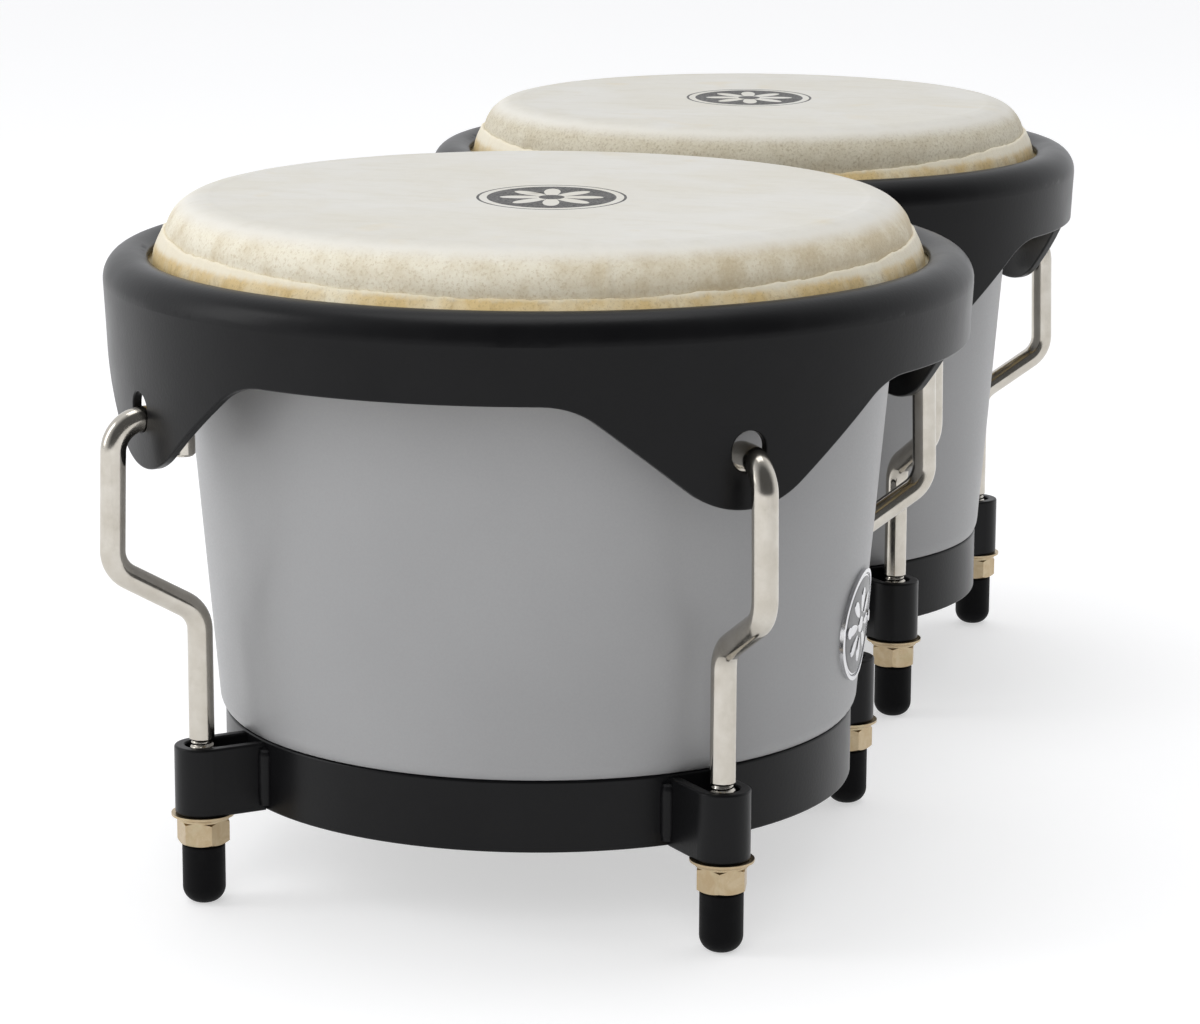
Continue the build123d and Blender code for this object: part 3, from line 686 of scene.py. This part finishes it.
def badge_details(drum, enamel, polish):
    """Dark enamel with a thin bright ring in the badge's field, and a plain raised rosette on it."""
    for name, inset, high, paint in (
        ("badge_enamel", 0.95 * MM, 0.10 * MM, enamel),
        ("badge_ring", 1.3 * MM, 0.17 * MM, polish),
        ("badge_field", 1.75 * MM, 0.24 * MM, enamel),
    ):
        half_long, half_tall = BADGE_LONG / 2 - inset, BADGE_TALL / 2 - inset
        field = [(half_long * cos(t), half_tall * sin(t)) for t in circle(FIELD_POINTS)]
        points, faces = badge_plate(drum, field, BADGE_THICK - 0.2 * MM, BADGE_THICK + high)
        piece = add_piece(name, points, faces, paint)
        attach(piece, "root")

    shapes = [[(2.1 * MM * cos(t), 2.1 * MM * sin(t)) for t in circle(PETAL_POINTS)]]
    for turn in circle(8):
        petal = []
        for t in circle(PETAL_POINTS):
            along, across = 6.6 * MM + 3.2 * MM * cos(t), 1.35 * MM * sin(t) * (1.0 + 0.35 * cos(t))
            petal.append((along * cos(turn) - across * sin(turn), along * sin(turn) + across * cos(turn)))
        shapes.append(petal)
    parts = [badge_plate(drum, shape, BADGE_THICK, BADGE_THICK + 0.45 * MM) for shape in shapes]
    piece = add_piece("badge_rosette", *joined(parts), polish)
    piece.data.set_sharp_from_angle(angle=radians(35))
    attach(piece, "root")


# ---------------------------------------------------------------- everything on the object
steel = powder_coat()
polish = badge_paint()
CAD_PAINTS = {
    "shell": shell_paint(),
    "saddle": shell_paint(),
    "rim": steel,
    "bottom_ring": steel,
    "lug_brackets": steel,
    "cup_washers": zinc_paint(),
    "tuning_nut": zinc_paint(),
    "rubber_foot": rubber_paint(),
    "flesh_hoop": bolt_paint(),
    "block_bolts": bolt_paint(),
    "block_washers": bolt_paint(),
    "block_inserts": brass_paint(),
    "centre_block": block_paint(),
    "badge": polish,
    "badge_pins": polish,
}
for node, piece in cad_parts.items():
    for ending, paint in CAD_PAINTS.items():
        if node == ending or node.rstrip("_1234").endswith("_" + ending):
            for slot in piece.material_slots:
                slot.material = paint

nickel = nickel_paint()
badge_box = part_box("badge")
for name in DRUMS:
    drum = drum_facts(name)
    head_skin(drum, hide_paint(drum))
    tail_skin(drum, tail_paint(drum))
    hook_rod(drum, nickel)
    weld_beads(drum, steel)
    if name == "large":
        badge_details(drum, enamel_paint(), polish)

# ---------------------------------------------------------------- floor, light and camera
FLOOR = 9
corners = [(-FLOOR, -FLOOR, 0), (FLOOR, -FLOOR, 0), (FLOOR, FLOOR, 0), (-FLOOR, FLOOR, 0)]
floor = add_piece("floor", corners, [(0, 1, 2, 3)], floor_paint(), smooth=False)

# The room is bright all round, but dim in front of the object, so that glossy black keeps its depth.
WORLD_BRIGHT, WORLD_DIM = 0.95, 0.12
DIM_SIDE = (-0.80, -0.50, 0.33)
world = bpy.data.worlds.new("studio")
bpy.context.scene.world = world
world.use_nodes = True
background = world.node_tree.nodes["Background"]
background.inputs["Color"].default_value = (0.97, 0.98, 1.0, 1.0)
direction = world.node_tree.nodes.new("ShaderNodeTexCoord").outputs["Generated"]
facing = world.node_tree.nodes.new("ShaderNodeVectorMath")
facing.operation = "DOT_PRODUCT"
facing.inputs[1].default_value = DIM_SIDE
world.node_tree.links.new(direction, facing.inputs[0])
fall = world.node_tree.nodes.new("ShaderNodeMapRange")
limits = {"From Min": 0.10, "From Max": 0.68, "To Min": WORLD_BRIGHT, "To Max": WORLD_DIM}
for socket, value in limits.items():
    fall.inputs[socket].default_value = value
world.node_tree.links.new(facing.outputs["Value"], fall.inputs["Value"])
world.node_tree.links.new(fall.outputs[0], background.inputs["Strength"])

# Each soft box: place, aim, width, height, watts, and whether it shows in glossy surfaces.
SOFT_BOXES = {
    "overhead": ((0.1, 0.1, 1.9), (0.0, 0.0, 0.1), 1.3, 1.0, 7, True),
    "left": ((-0.7, 1.7, 0.9), (0.0, 0.0, 0.1), 0.7, 1.4, 7, True),
    "fill": ((-1.8, -0.2, 1.1), (0.0, 0.0, 0.1), 1.4, 1.4, 15, False),
}
for name, (place, aim, width, height, watts, glossy) in SOFT_BOXES.items():
    light = bpy.data.lights.new(name, "AREA")
    light.shape, light.size, light.size_y, light.energy = "RECTANGLE", width, height, watts
    lamp = bpy.data.objects.new(name, light)
    lamp.location, lamp.visible_glossy = place, glossy
    lamp.rotation_euler = (Vector(aim) - Vector(place)).to_track_quat("-Z", "Y").to_euler()
    bpy.context.scene.collection.objects.link(lamp)

lens = bpy.data.cameras.new("photo_view")
lens.sensor_width, lens.lens = SENSOR, CAMERA_LENS
lens.clip_start, lens.clip_end = 0.05, 30
camera = bpy.data.objects.new("photo_view", lens)
camera.matrix_world = (
    Matrix.Translation(CAMERA_AT)
    @ Matrix.Rotation(radians(CAMERA_HEADING), 4, "Z")
    @ Matrix.Rotation(radians(90 - CAMERA_PITCH), 4, "X")
    @ Matrix.Rotation(radians(CAMERA_ROLL), 4, "Z")
)
bpy.context.scene.collection.objects.link(camera)
bpy.context.scene.camera = camera
bpy.context.scene.view_settings.view_transform = "Standard"
